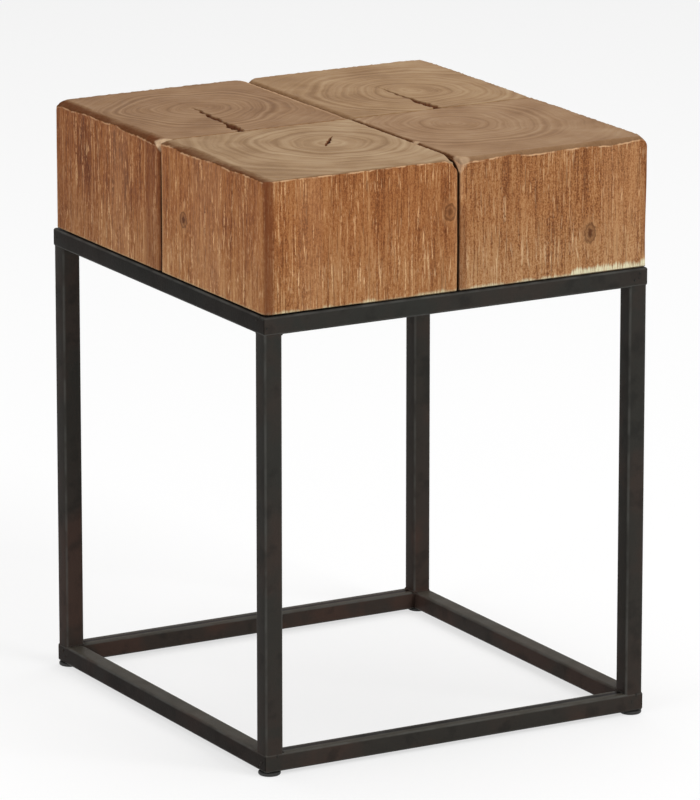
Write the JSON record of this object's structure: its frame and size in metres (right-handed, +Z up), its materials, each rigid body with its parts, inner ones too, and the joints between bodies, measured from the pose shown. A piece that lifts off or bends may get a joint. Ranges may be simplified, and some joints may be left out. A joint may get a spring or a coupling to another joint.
{
  "type": "stool",
  "caption": "Block-top stool: solid end-grain wood blocks set side by side on an open cube frame of welded square steel tube, standing on low round glides.",
  "frame": {"origin": "on the floor, under the middle of the stool's footprint", "axes": "+Z up, +X to the right seen from the front, and the front faces -Y"},
  "size_m": [0.353, 0.363, 0.4802],
  "materials": {
    "frame_steel": "dark bronze black, satin, with weld marks and worn edges",
    "seat_wood": "orange-brown wood with a dry wax finish, end grain up, pale streaks down the sides",
    "glide_plastic": "dark matt plastic",
    "screw_zinc": "bright zinc"
  },
  "bodies": {
    "root": {"top_rail_front": "frame_steel", "top_rail_right": "frame_steel", "top_rail_back": "frame_steel", "top_rail_left": "frame_steel", "bottom_rail_front": "frame_steel", "bottom_rail_right": "frame_steel", "bottom_rail_back": "frame_steel", "bottom_rail_left": "frame_steel", "leg_front_left": "frame_steel", "leg_front_right": "frame_steel", "leg_back_right": "frame_steel", "leg_back_left": "frame_steel", "support_bar_long": "frame_steel", "support_bar_front": "frame_steel", "support_bar_back": "frame_steel", "block_front_left": "seat_wood", "block_front_right": "seat_wood", "block_back_right": "seat_wood", "block_back_left": "seat_wood", "glide_front_left": "glide_plastic", "glide_front_right": "glide_plastic", "glide_back_right": "glide_plastic", "glide_back_left": "glide_plastic", "screw_front_left_side": "screw_zinc", "screw_front_left_middle": "screw_zinc", "screw_front_right_side": "screw_zinc", "screw_front_right_middle": "screw_zinc", "screw_back_right_side": "screw_zinc", "screw_back_right_middle": "screw_zinc", "screw_back_left_side": "screw_zinc", "screw_back_left_middle": "screw_zinc"}
  },
  "joints": []
}
